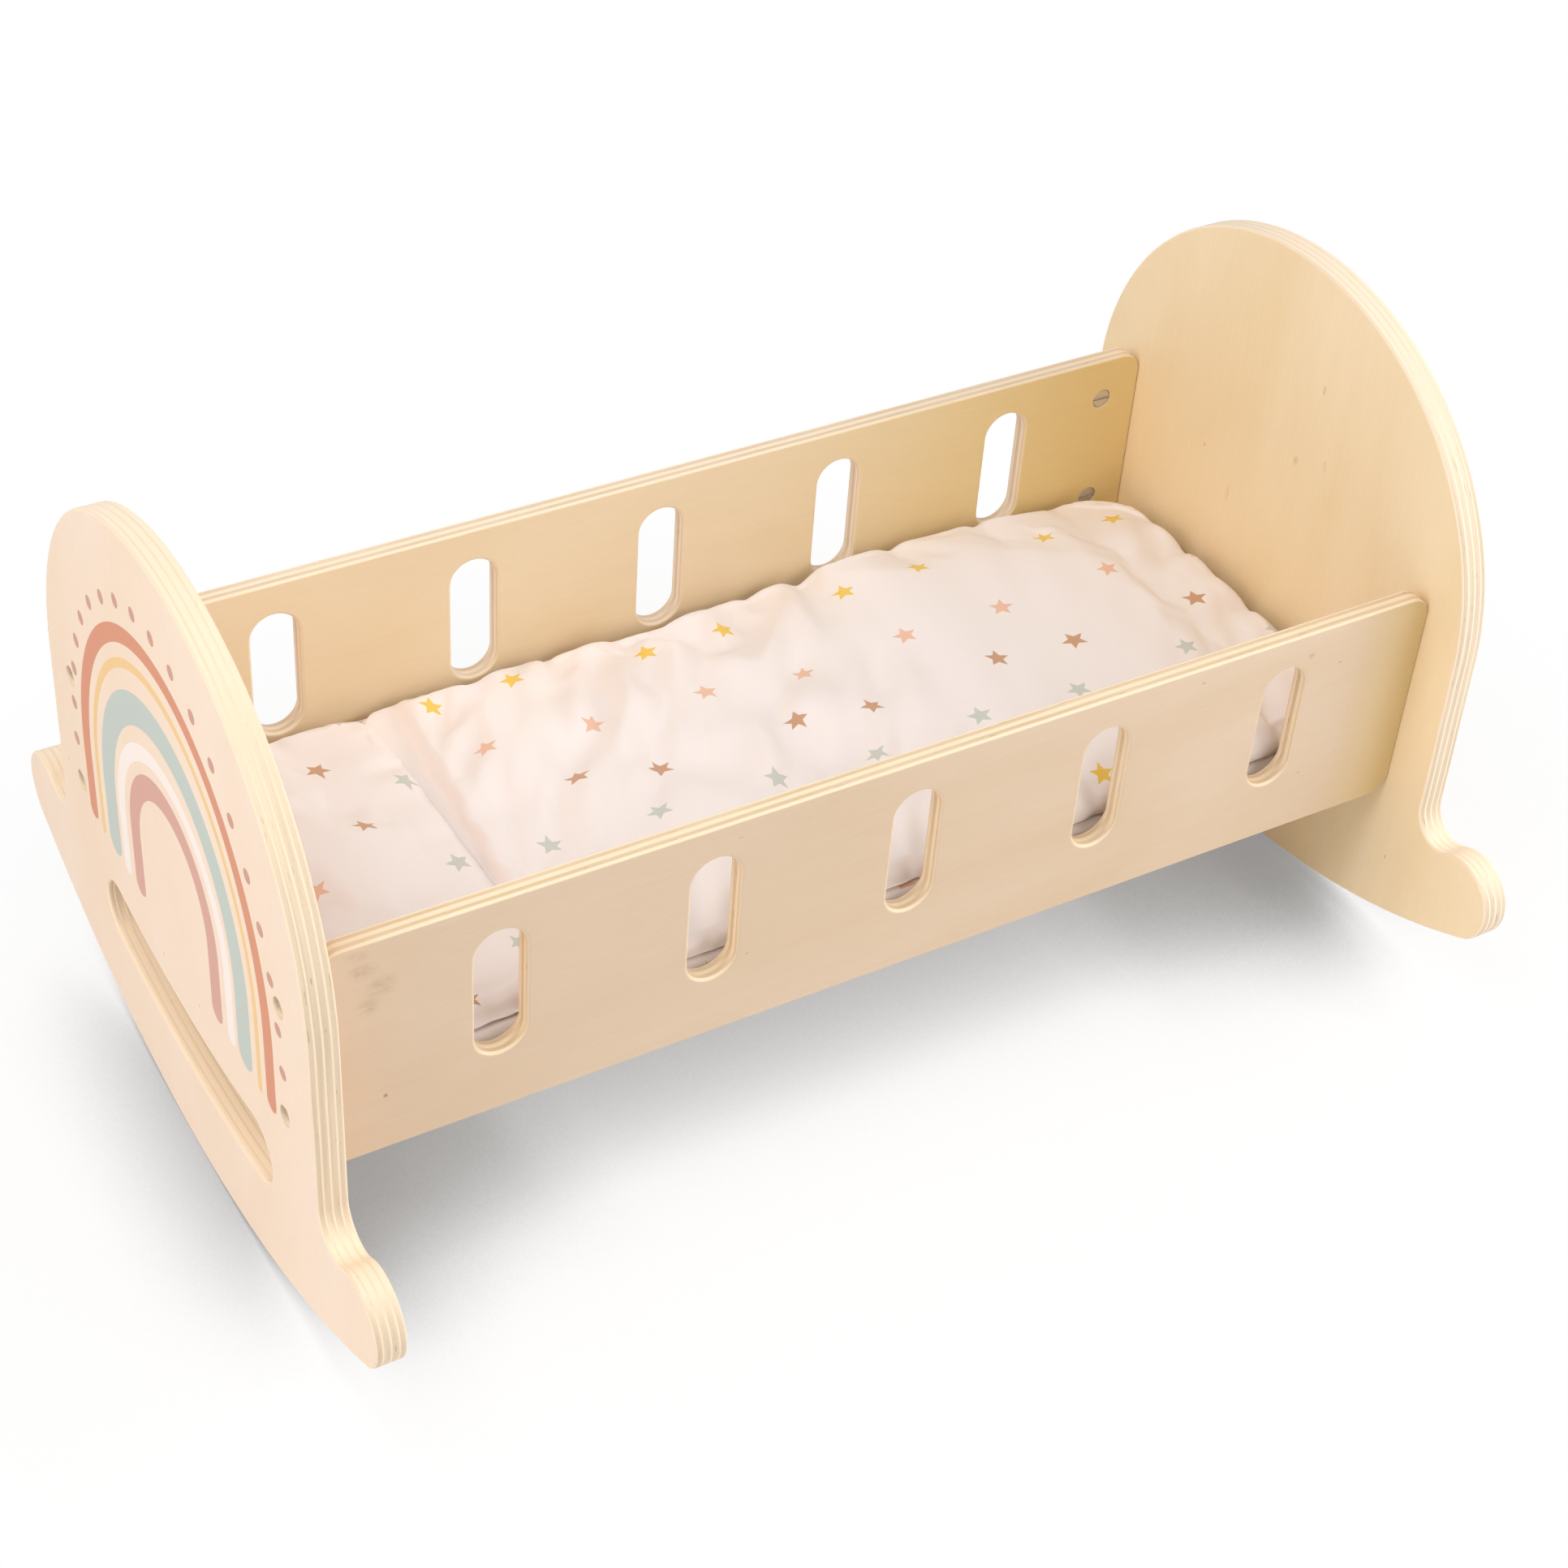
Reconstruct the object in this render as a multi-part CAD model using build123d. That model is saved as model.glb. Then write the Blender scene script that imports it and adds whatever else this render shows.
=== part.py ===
from build123d import *
import math
import os

os.makedirs("parts", exist_ok=True)

# A rocking doll cradle of plywood, with its bedding. Lengths are millimetres and angles degrees.
# X runs along the cradle from the head panel to the foot panel, Y across it and Z up. The origin
# is on the floor below the middle of the cradle. Left and right are as seen from the head panel,
# looking towards the foot.

# End panels: an arch-topped board whose lower edge is the rocker
panel_thickness = 12.0
panel_height = 274.0
# How far the panel stands out past the side panels, and its toes past that
body_margin = 20.5
toe_run = 49.3
# The crown arc is this much wider than the body, and the shoulder arcs this much narrower
crown_widening = 13.0
shoulder_narrowing = 7.0
side_lean = 1.0
waist_radius = 12.3
toe_radius = 18.5
rocker_radius = 346.0
panel_ease = 1.2

# Carrying slot in each end panel, curved like the rocker below it
handle_width = 166.0
handle_height = 27.5
handle_lift = 42.5
handle_curve_radius = 420.0
handle_ease = 1.5

# Side panels: a board with a row of upright slots
side_length = 480.0
side_height = 101.0
side_thickness = 8.0
side_lift = 77.5
side_spacing = 193.0
side_corner_radius = 10.0
side_ease = 1.0
slot_count = 5
slot_width = 20.3
slot_end_margin = 58.85
slot_bottom_margin = 27.8
slot_top_margin = 14.7
slot_ease = 1.5

# Base board, held in a groove along the inside of each side panel
board_thickness = 6.0
board_lift = 14.5
board_end_gap = 0.3
groove_depth = 3.0
groove_side_gap = 0.2
groove_clearance = 0.2

# Barrel nuts in the side panels, two at each end
nut_diameter = 9.0
nut_sink = 0.4
nut_back_wall = 1.1
nut_clearance = 0.1
nut_setback = 18.6
nut_board_gap = 3.9
nut_top_margin = 19.9
nut_slot_width = 1.4
nut_slot_depth = 0.8
nut_edge = 0.4

# Socket head bolts through the end panels
bolt_diameter = 4.0
bolt_past_nut = 0.4
bolt_head_diameter = 7.0
bolt_head_height = 4.0
bolt_head_sink = 1.5
bolt_head_clearance = 0.8
bolt_head_edge = 0.4
bolt_socket_width = 3.0
bolt_socket_depth = 2.0
bolt_hole_clearance = 0.25
bolt_tip_room = 1.5
thread_clearance = 0.05

# Mattress
mattress_thickness = 7.0
mattress_end_gap = 4.0
mattress_side_gap = 3.5

# Pillow at the head end
pillow_length = 94.0
pillow_thickness = 15.0
pillow_end_gap = 5.0
pillow_side_gap = 4.5

# Quilt over the rest of the mattress, thicker towards the foot end
quilt_thickness = 18.0
quilt_pillow_gap = 10.0
quilt_end_gap = 8.0
quilt_side_gap = 4.0

# Room between one layer of the bedding and the next
layer_gap = 0.3

# The upright section of a padded piece, as shares of its thickness there: the seam stands out
# furthest, the seat below it is tucked in and the shoulder above it leads into the crown
seam_height_share = 0.42
seat_tuck_share = 0.4
shoulder_height_share = 0.8
shoulder_inset_share = 0.75
# How far a quarter arc stays off the corner that it rounds
quarter_share = math.sqrt(0.5)

# Sections along each padded piece, from one end to the other: where it is, how thick and wide
# it is there, and how far its seat is drawn up, all as shares of its own sizes
mattress_shares = (
    (0.0, 0.3, 0.93, 0.3),
    (0.006, 0.7, 0.96, 0.08),
    (0.02, 0.95, 0.985, 0.0),
    (0.14, 1.0, 1.0, 0.0),
    (0.2, 0.96, 0.985, 0.0),
    (0.32, 1.0, 1.0, 0.0),
    (0.41, 0.95, 0.985, 0.0),
    (0.5, 1.0, 1.0, 0.0),
    (0.6, 0.96, 0.985, 0.0),
    (0.7, 1.0, 1.0, 0.0),
    (0.8, 0.96, 0.985, 0.0),
    (0.88, 1.0, 1.0, 0.0),
    (0.98, 0.95, 0.985, 0.0),
    (0.994, 0.7, 0.96, 0.08),
    (1.0, 0.3, 0.93, 0.3),
)
pillow_shares = (
    (0.0, 0.12, 0.88, 0.3),
    (0.03, 0.45, 0.95, 0.05),
    (0.1, 0.72, 0.985, 0.0),
    (0.19, 0.86, 0.965, 0.0),
    (0.3, 0.95, 1.0, 0.0),
    (0.4, 0.98, 0.97, 0.0),
    (0.5, 1.0, 1.0, 0.0),
    (0.6, 0.98, 0.97, 0.0),
    (0.7, 0.95, 1.0, 0.0),
    (0.81, 0.86, 0.965, 0.0),
    (0.9, 0.72, 0.985, 0.0),
    (0.97, 0.45, 0.95, 0.05),
    (1.0, 0.12, 0.88, 0.3),
)
quilt_shares = (
    (0.0, 0.16, 0.93, 0.25),
    (0.012, 0.4, 0.96, 0.04),
    (0.035, 0.55, 0.98, 0.0),
    (0.07, 0.38, 0.965, 0.0),
    (0.12, 0.46, 1.0, 0.0),
    (0.18, 0.38, 0.98, 0.0),
    (0.24, 0.47, 1.0, 0.0),
    (0.3, 0.4, 0.98, 0.0),
    (0.335, 0.44, 1.0, 0.0),
    (0.37, 0.35, 0.965, 0.0),
    (0.42, 0.57, 1.0, 0.0),
    (0.47, 0.56, 0.985, 0.0),
    (0.52, 0.7, 1.0, 0.0),
    (0.56, 0.78, 0.98, 0.0),
    (0.62, 1.0, 1.0, 0.0),
    (0.68, 0.94, 0.985, 0.0),
    (0.75, 1.0, 1.0, 0.0),
    (0.82, 0.92, 0.985, 0.0),
    (0.88, 0.94, 0.98, 0.0),
    (0.94, 0.85, 0.92, 0.0),
    (0.985, 0.6, 0.82, 0.05),
    (1.0, 0.16, 0.72, 0.25),
)

# Sizes and places worked out from the sizes above
body_half_width = side_spacing / 2 + side_thickness + body_margin
crown_radius = body_half_width + crown_widening
shoulder_radius = body_half_width - shoulder_narrowing
toe_reach = body_half_width + toe_run
side_centre_y = (side_spacing + side_thickness) / 2
slot_height = side_height - slot_bottom_margin - slot_top_margin
slot_pitch = (side_length - slot_width - 2 * slot_end_margin) / (slot_count - 1)
groove_height = board_thickness + groove_clearance
board_top = side_lift + board_lift + board_thickness
nut_length = side_thickness - nut_sink - nut_back_wall
nut_heights = {
    "lower": side_lift + board_lift + groove_height + nut_board_gap + nut_diameter / 2,
    "upper": side_lift + side_height - nut_top_margin,
}
counterbore_diameter = bolt_head_diameter + 2 * bolt_head_clearance
counterbore_floor = side_length / 2 + panel_thickness - bolt_head_height - bolt_head_sink
bolt_length = counterbore_floor - side_length / 2 + nut_setback + nut_diameter / 2 + bolt_past_nut
bolt_bore = bolt_diameter + 2 * bolt_hole_clearance
mattress_base = board_top + layer_gap
bedding_base = mattress_base + mattress_thickness + layer_gap
pillow_start = -side_length / 2 + pillow_end_gap
quilt_start = pillow_start + pillow_length + quilt_pillow_gap
quilt_length = side_length / 2 - quilt_end_gap - quilt_start
cut_overrun = panel_thickness
ends = {"head": -1, "foot": 1}
sides = {"right": -1, "left": 1}


def along(origin, direction, distance):
    return (origin[0] + direction[0] * distance, origin[1] + direction[1] * distance)


def unit(start, end):
    length = math.dist(start, end)
    return ((end[0] - start[0]) / length, (end[1] - start[1]) / length)


def rims(solid, axis, holes):
    """Edges round the flat faces square to the axis: of their holes, or of their outlines."""
    edges = []
    for face in solid.faces().filter_by(axis).sort_by(lambda flat: flat.area)[-2:]:
        wires = face.inner_wires() if holes else [face.outer_wire()]
        for wire in wires:
            edges += wire.edges()
    return edges


def panel_half_outline():
    """Half of the end panel's outline, from the top of the arch to the middle of the rocker."""
    crown_centre = (0, panel_height - crown_radius)
    shoulder_rise = math.sqrt((crown_radius - shoulder_radius) ** 2 - shoulder_narrowing ** 2)
    shoulder_centre = (shoulder_narrowing, crown_centre[1] + shoulder_rise)
    rocker_centre = (0, rocker_radius)
    toe_offset = toe_reach - toe_radius
    toe_drop = math.sqrt((rocker_radius - toe_radius) ** 2 - toe_offset ** 2)
    toe_centre = (toe_offset, rocker_radius - toe_drop)

    # The side leans out on its way down, from the shoulder arc to the waist arc
    lean = math.radians(side_lean)
    side_normal = (math.cos(lean), math.sin(lean))
    side_down = (math.sin(lean), -math.cos(lean))
    side_top = along(shoulder_centre, side_normal, shoulder_radius)

    # The waist arc touches both the side and the toe arc
    waist_line = along(side_top, side_normal, waist_radius)
    to_toe = (waist_line[0] - toe_centre[0], waist_line[1] - toe_centre[1])
    ahead = to_toe[0] * side_down[0] + to_toe[1] * side_down[1]
    spare = to_toe[0] ** 2 + to_toe[1] ** 2 - (waist_radius + toe_radius) ** 2
    side_run = -ahead - math.sqrt(ahead ** 2 - spare)
    waist_centre = along(waist_line, side_down, side_run)

    crown_end = along(crown_centre, unit(crown_centre, shoulder_centre), crown_radius)
    side_foot = along(side_top, side_down, side_run)
    toe_start = along(waist_centre, unit(waist_centre, toe_centre), waist_radius)
    toe_side = (toe_reach, toe_centre[1])
    toe_end = along(rocker_centre, unit(rocker_centre, toe_centre), rocker_radius)
    return [
        RadiusArc((0, panel_height), crown_end, crown_radius),
        RadiusArc(crown_end, side_top, shoulder_radius),
        Line(side_top, side_foot),
        RadiusArc(side_foot, toe_start, -waist_radius),
        RadiusArc(toe_start, toe_side, toe_radius),
        RadiusArc(toe_side, toe_end, toe_radius),
        RadiusArc(toe_end, (0, 0), rocker_radius),
    ]


def handle_outline():
    """Curved slot with round ends that dips in the middle."""
    curve_centre = (0, handle_lift + handle_height / 2 + handle_curve_radius)
    reach = (handle_width - handle_height) / 2
    half_angle = math.degrees(math.asin(reach / handle_curve_radius))
    middle = CenterArc(curve_centre, handle_curve_radius, -90 - half_angle, 2 * half_angle)
    return SlotArc(middle, handle_height)


def end_panel(end):
    """An end panel with eased edges, its carrying slot and a stepped hole for each bolt."""
    outward = ends[end]
    half = panel_half_outline()
    outline = make_face(half + [edge.mirror(Plane.YZ) for edge in half])
    inner_face = Plane((outward * side_length / 2, 0, 0), x_dir=(0, 1, 0), z_dir=(1, 0, 0))
    panel = extrude(inner_face * outline, outward * panel_thickness)
    panel = fillet(rims(panel, Axis.X, False), panel_ease)
    panel -= extrude(inner_face * handle_outline(), outward * panel_thickness)
    panel = fillet(rims(panel, Axis.X, True), handle_ease)
    for side in sides:
        for level in nut_heights:
            place = bolt_place(end, side, level)
            panel -= place * hole_along(0, cut_overrun, counterbore_diameter)
            panel -= place * hole_along(-cut_overrun, 0, bolt_bore)
    return panel


def hole_along(start, end, diameter):
    """Cylinder on the Z axis between two heights."""
    height = end - start
    return Pos(0, 0, start + height / 2) * Cylinder(diameter / 2, height)


def bolt_place(end, side, level):
    """Frame on the floor of a bolt's counterbore, with Z pointing out of the cradle."""
    outward = ends[end]
    origin = (outward * counterbore_floor, sides[side] * side_centre_y, nut_heights[level])
    return Plane(origin, x_dir=(0, 1, 0), z_dir=(outward, 0, 0)).location


def nut_place(end, side, level):
    """Frame on a barrel nut's visible face, with Z pointing into the cradle."""
    inward = -sides[side]
    face_y = sides[side] * (side_spacing / 2 + nut_sink)
    origin = (ends[end] * (side_length / 2 - nut_setback), face_y, nut_heights[level])
    return Plane(origin, x_dir=(1, 0, 0), z_dir=(0, inward, 0)).location


def side_panel(side):
    """A side panel with its slots, the groove for the base board and the holes for its nuts."""
    outward = sides[side]
    middle = (0, outward * side_centre_y, side_lift + side_height / 2)
    upright = Plane(middle, x_dir=(1, 0, 0), z_dir=(0, -1, 0))
    board = RectangleRounded(side_length, side_height, side_corner_radius)
    panel = extrude(upright * board, side_thickness / 2, both=True)
    panel = fillet(rims(panel, Axis.Y, False), side_ease)
    slot = extrude(SlotOverall(slot_height, slot_width, rotation=90), side_thickness, both=True)
    slot_middle = (slot_bottom_margin - slot_top_margin) / 2
    for place in GridLocations(slot_pitch, slot_height, slot_count, 1):
        panel -= upright.location * place * Pos(0, slot_middle) * slot
    panel = fillet(rims(panel, Axis.Y, True), slot_ease)

    groove_z = side_lift + board_lift + groove_height / 2
    groove = Box(side_length, 2 * groove_depth, groove_height)
    panel -= Pos(0, outward * side_spacing / 2, groove_z) * groove
    for end in ends:
        for level in nut_heights:
            seat = nut_place(end, side, level)
            panel -= seat * hole_along(-nut_length, cut_overrun, nut_diameter + 2 * nut_clearance)
            place = bolt_place(end, side, level)
            panel -= place * hole_along(-bolt_length - bolt_tip_room, 0, bolt_bore)
    return panel


def base_board():
    """The board that the bedding lies on."""
    width = side_spacing + 2 * (groove_depth - groove_side_gap)
    board = Box(side_length - 2 * board_end_gap, width, board_thickness)
    return Pos(0, 0, board_top - board_thickness / 2) * board


def bolt(end, side, level):
    """Socket head bolt, its head seated on the floor of the counterbore."""
    head = hole_along(0, bolt_head_height, bolt_head_diameter)
    head = chamfer(head.edges().group_by(Axis.Z)[-1], bolt_head_edge)
    socket = extrude(RegularPolygon(bolt_socket_width / 2, 6, major_radius=False), bolt_socket_depth)
    head -= Pos(0, 0, bolt_head_height - bolt_socket_depth) * socket
    return bolt_place(end, side, level) * (head + hole_along(-bolt_length, 0, bolt_diameter))


def barrel_nut(end, side, level):
    """Barrel nut with a screwdriver slot in its face and a cross hole for its bolt."""
    place = nut_place(end, side, level)
    nut = hole_along(-nut_length, 0, nut_diameter)
    nut = chamfer(nut.edges().group_by(Axis.Z)[-1], nut_edge)
    nut -= Box(nut_diameter, nut_slot_width, 2 * nut_slot_depth)
    nut = place * nut
    thread = hole_along(-bolt_length - bolt_tip_room, 0, bolt_diameter + 2 * thread_clearance)
    return nut - bolt_place(end, side, level) * thread


def padded_section(frame, half_span, low, high):
    """Closed outline of a padded piece, standing in the frame's own X and Y."""
    depth = high - low
    seam_y = low + depth * seam_height_share
    shoulder_y = low + depth * shoulder_height_share
    tuck = depth * seat_tuck_share
    inset = depth * shoulder_inset_share
    seat = (half_span - tuck, low)
    seam = (half_span, seam_y)
    shoulder = (half_span - inset, shoulder_y)
    seat_bend = (seat[0] + tuck * quarter_share, seam_y - (seam_y - low) * quarter_share)
    shoulder_bend = (shoulder[0] + inset * quarter_share, seam_y + (shoulder_y - seam_y) * quarter_share)
    half = [
        ThreePointArc(seat, seat_bend, seam),
        ThreePointArc(seam, shoulder_bend, shoulder),
    ]
    seat_line = Line((-seat[0], low), seat)
    crown = ThreePointArc(shoulder, (0, high), (-shoulder[0], shoulder_y))
    edges = [seat_line] + half + [crown] + [edge.mirror(Plane.YZ) for edge in half]
    return frame * make_face(edges)


def padded(shares, start, length, span, thickness, base, frame_at):
    """A padded piece lofted through its sections, flat where it lies."""
    sections = []
    for place, thick, wide, lift in shares:
        frame = frame_at(start + length * place)
        low = base + thickness * thick * lift
        sections.append(padded_section(frame, span * wide / 2, low, base + thickness * thick))
    return loft(sections, ruled=True)


def across(x):
    """Upright frame square to the cradle's length, at one place along it."""
    return Plane((x, 0, 0), x_dir=(0, 1, 0), z_dir=(1, 0, 0))


def lengthwise(y):
    """Upright frame along the pillow's short way, at one place across the cradle."""
    middle_x = pillow_start + pillow_length / 2
    return Plane((middle_x, y, 0), x_dir=(1, 0, 0), z_dir=(0, -1, 0))


parts = {"base_board": base_board()}
for end in ends:
    parts[end + "_panel"] = end_panel(end)
for side in sides:
    parts["side_panel_" + side] = side_panel(side)
    for end in ends:
        for level in nut_heights:
            name = "_".join((end, side, level))
            parts["bolt_" + name] = bolt(end, side, level)
            parts["barrel_nut_" + name] = barrel_nut(end, side, level)

mattress_length = side_length - 2 * mattress_end_gap
parts["mattress"] = padded(
    mattress_shares, -mattress_length / 2, mattress_length, side_spacing - 2 * mattress_side_gap,
    mattress_thickness, mattress_base, across,
)
pillow_width = side_spacing - 2 * pillow_side_gap
parts["pillow"] = padded(
    pillow_shares, -pillow_width / 2, pillow_width, pillow_length,
    pillow_thickness, bedding_base, lengthwise,
)
parts["quilt"] = padded(
    quilt_shares, quilt_start, quilt_length, side_spacing - 2 * quilt_side_gap,
    quilt_thickness, bedding_base, across,
)

for name, solid in parts.items():
    export_step(solid, "parts/" + name + ".step")
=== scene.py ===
import math

import bmesh
import bpy
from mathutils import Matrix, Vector, noise


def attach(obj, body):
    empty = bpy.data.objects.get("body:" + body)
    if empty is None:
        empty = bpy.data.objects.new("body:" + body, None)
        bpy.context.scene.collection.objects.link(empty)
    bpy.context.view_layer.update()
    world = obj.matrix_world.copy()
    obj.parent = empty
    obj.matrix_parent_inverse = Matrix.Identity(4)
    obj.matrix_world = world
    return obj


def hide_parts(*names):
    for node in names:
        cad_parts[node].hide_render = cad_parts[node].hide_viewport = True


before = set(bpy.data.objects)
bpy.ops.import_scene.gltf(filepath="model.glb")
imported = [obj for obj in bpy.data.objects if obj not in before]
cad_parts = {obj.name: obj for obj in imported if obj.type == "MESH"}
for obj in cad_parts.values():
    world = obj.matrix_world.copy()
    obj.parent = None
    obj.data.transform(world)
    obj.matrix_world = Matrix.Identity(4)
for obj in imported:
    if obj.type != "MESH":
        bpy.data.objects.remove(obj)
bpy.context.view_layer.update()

mm = 0.001


def hexColour(code):
    # sRGB hex to Blender's linear colour
    parts = [int(code[i:i + 2], 16) / 255 for i in (0, 2, 4)]
    return [p / 12.92 if p <= 0.04045 else ((p + 0.055) / 1.055) ** 2.4 for p in parts] + [1.0]


def addNode(tree, kind, settings=None, inputs=None):
    # settings are the node's own fields; an input is a value or another node's output
    node = tree.nodes.new("ShaderNode" + kind)
    for name, value in (settings or {}).items():
        setattr(node, name, value)
    for socket, value in (inputs or {}).items():
        if isinstance(value, bpy.types.NodeSocket):
            tree.links.new(value, node.inputs[socket])
        else:
            node.inputs[socket].default_value = value
    return node


def newMaterial(name):
    material = bpy.data.materials.new(name)
    material.use_nodes = True
    material.node_tree.nodes.clear()
    return material, material.node_tree


def seenDirectly(tree):
    # 1 for what the camera sees, also in a shine or through something clear
    path = addNode(tree, "LightPath")
    seen = addNode(tree, "Math", {"operation": "MAXIMUM"},
                   {0: path.outputs["Is Camera Ray"], 1: path.outputs["Is Glossy Ray"]})
    return addNode(tree, "Math", {"operation": "MAXIMUM"},
                   {0: seen.outputs[0], 1: path.outputs["Is Transmission Ray"]}).outputs[0]


def setStops(ramp, stops):
    # stops are (place, grey value)
    elements = ramp.color_ramp.elements
    while len(elements) > 1:
        elements.remove(elements[-1])
    for i, (place, value) in enumerate(stops):
        stop = elements[0] if i == 0 else elements.new(place)
        stop.position = place
        stop.color = [value, value, value, 1.0]


# the camera stands where the photograph was taken from
view = {
    "place": (-0.50467, -0.78931, 0.8670),
    "turn": (50.2277, -3.5201, -30.0565),   # degrees
    "lens": 68.72,          # mm, as the sensor
    "sensor": 36.0,
}
cameraData = bpy.data.cameras.new("camera")
cameraData.sensor_width = view["sensor"]
cameraData.lens = view["lens"]
camera = bpy.data.objects.new("camera", cameraData)
camera.location = view["place"]
camera.rotation_euler = [math.radians(a) for a in view["turn"]]
bpy.context.collection.objects.link(camera)
bpy.context.scene.camera = camera

# soft studio light: a bright room with softboxes overhead and in front, at both ends of the
# cradle, and a weak one behind it
studio = {
    "roomStrength": 0.45,
    "lampSize": 1.1,
    "aim": (0.0, 0.0, 0.12),
    "lamps": {
        # place in metres and power in watts
        "overhead": ((-0.8, -0.2, 1.5), 10.9),
        "footSide": ((1.7, -0.6, 0.8), 16.4),
        "front": ((0.9, -1.35, 0.9), 8.2),
        "headSide": ((-1.75, -0.3, 0.85), 6.1),
        "behind": ((0.3, 1.9, 0.45), 5.0),
    },
    "floorSize": 6.0,        # half the side, metres
    "floorColour": "F2F2F2",
    "shadowReach": 0.13,     # metres
    "shadowRange": ((0.4, 0.3), (0.7, 1.0)),   # how open the floor is, and how white it looks
    "shadowShare": 0.85,     # share of the painted shadow; the rest is the light that falls on the paper
    "whiteShape": (0.8, 1.0),   # the shadow's field is longer along the cradle
    "middle": (0.0, 0.06),
    "whiteFrom": (0.28, 0.43),  # metres from the middle, where the paper fades to clear white
}


def buildStudio(look):
    scene = bpy.context.scene
    scene.view_settings.view_transform = "Standard"
    world = bpy.data.worlds.new("studioRoom")
    scene.world = world
    world.use_nodes = True
    tree = world.node_tree
    tree.nodes.clear()
    room = addNode(tree, "Background", None, {"Strength": look["roomStrength"]})
    white = addNode(tree, "Background", None, {"Strength": 1.0})
    for shade in (room, white):
        shade.inputs["Color"].default_value = hexColour("FFFFFF")
    mix = addNode(tree, "MixShader", None,
                  {0: seenDirectly(tree), 1: room.outputs[0], 2: white.outputs[0]})
    addNode(tree, "OutputWorld", None, {"Surface": mix.outputs[0]})

    for name, (place, power) in look["lamps"].items():
        lampData = bpy.data.lights.new(name, "AREA")
        lampData.shape = "DISK"
        lampData.size = look["lampSize"]
        lampData.energy = power
        lamp = bpy.data.objects.new(name, lampData)
        lamp.location = place
        aim = Vector(look["aim"]) - Vector(place)
        lamp.rotation_euler = aim.to_track_quat("-Z", "Y").to_euler()
        bpy.context.collection.objects.link(lamp)

    bm = bmesh.new()
    bmesh.ops.create_grid(bm, x_segments=1, y_segments=1, size=look["floorSize"])
    mesh = bpy.data.meshes.new("floor")
    bm.to_mesh(mesh)
    bm.free()
    floor = bpy.data.objects.new("floor", mesh)
    bpy.context.collection.objects.link(floor)
    # matt background paper: the camera sees it partly as lit, with its real shadow, and mostly as a
    # painted shadow, a white glow dimmed where the cradle closes the floor in, fading to clear
    # white further out
    material, tree = newMaterial("backgroundPaper")
    paper = addNode(tree, "BsdfDiffuse", None, {"Color": hexColour(look["floorColour"])})
    # painted shadow: how open the floor is sets the strength of a white glow
    openness = addNode(tree, "AmbientOcclusion", {"samples": 16}, {"Distance": look["shadowReach"]})
    (closed, dark), (free, full) = look["shadowRange"]
    grey = addNode(tree, "MapRange", None,
                   {"Value": openness.outputs["AO"], "From Min": closed, "From Max": free,
                    "To Min": dark, "To Max": full})
    grey = addNode(tree, "Emission", None,
                   {"Color": hexColour("FFFFFF"), "Strength": grey.outputs[0]})
    bright = addNode(tree, "MixShader", None,
                     {0: look["shadowShare"], 1: paper.outputs[0], 2: grey.outputs[0]})
    clear = addNode(tree, "Emission", None, {"Color": hexColour("FFFFFF"), "Strength": 1.0})
    coords = addNode(tree, "TexCoord")
    apart = addNode(tree, "Mapping", None,
                    {"Vector": coords.outputs["Object"], "Scale": (*look["whiteShape"], 1.0),
                     "Location": (*look["middle"], 0.0)})
    apart = addNode(tree, "VectorMath", {"operation": "LENGTH"}, {0: apart.outputs[0]})
    away = addNode(tree, "MapRange", {"interpolation_type": "SMOOTHSTEP"},
                   {"Value": apart.outputs["Value"], "From Min": look["whiteFrom"][0],
                    "From Max": look["whiteFrom"][1]})
    both = addNode(tree, "MixShader", None,
                   {0: away.outputs[0], 1: bright.outputs[0], 2: clear.outputs[0]})
    mix = addNode(tree, "MixShader", None,
                  {0: seenDirectly(tree), 1: paper.outputs[0], 2: both.outputs[0]})
    addNode(tree, "OutputMaterial", None, {"Surface": mix.outputs[0]})
    mesh.materials.append(material)


buildStudio(studio)
print("studio built")


# Birch plywood, sanded and clear lacquered: pale, close-grained faces with a faint figure, and
# cut edges where the plies show in turn as creamy long grain and greyer, checked end grain
birch = {
    "face": "F2DABE",
    "faceWarm": "E9CBA4",
    "edgeLong": "FCE6CA",
    "edgeEnd": "D9C3A9",
    "glue": "C9A277",
    "gap": "94775C",
    "fleck": "A98662",
    # sizes in mm along the grain, across it and through the plies
    "fibre": (16.0, 0.35, 0.35),
    "figure": (225.0, 75.0, 75.0),
    "fleckSpacing": (48.0, 22.0, 30.0),
    "stainCloud": (7.0, 4.0, 7.0),
    "plyWander": (40.0, 40.0, 40.0),
    "endPatches": (60.0, 60.0, 2.4),
    "endGaps": (9.0, 9.0, 0.45),
    "faceContrast": 0.05,
    "edgeContrast": 0.09,
    "endOfFacePly": 0.6,    # how dark the face plies' own end grain gets
    "roughness": 0.58,
    "stains": [],           # x, y, z and half sizes in mm of darker marks on one face, strength
    "paintedFootShade": None,          # painted shade: the colour the face darkens to towards the foot panel, and from where to where along X in mm
}
birchHead = dict(birch, face="F8E1CC", faceWarm="F4D6B9", edgeEnd="DCC6AA", edgeLong="FBE3C5")
birchFoot = dict(birch, face="F8E2BF", faceWarm="EFD3A4",
                 stains=[((240, -12.5, 187), (2, 1.5, 2.5), 0.5), ((240, -30, 194), (2, 1, 3), 0.4),
                         ((240, -21, 226), (2, 1, 2.5), 0.5), ((240, 25, 147), (2, 1.2, 5), 0.3)])
# the side panels' faces carry painted shade that deepens towards the foot panel, where it shades
# them
birchFar = dict(birch, face="EEDAB8", faceWarm="E7CDA4", edgeEnd="E2C8A6",
                endOfFacePly=0.9, paintedFootShade=("F0D698", 20, 240))
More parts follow.
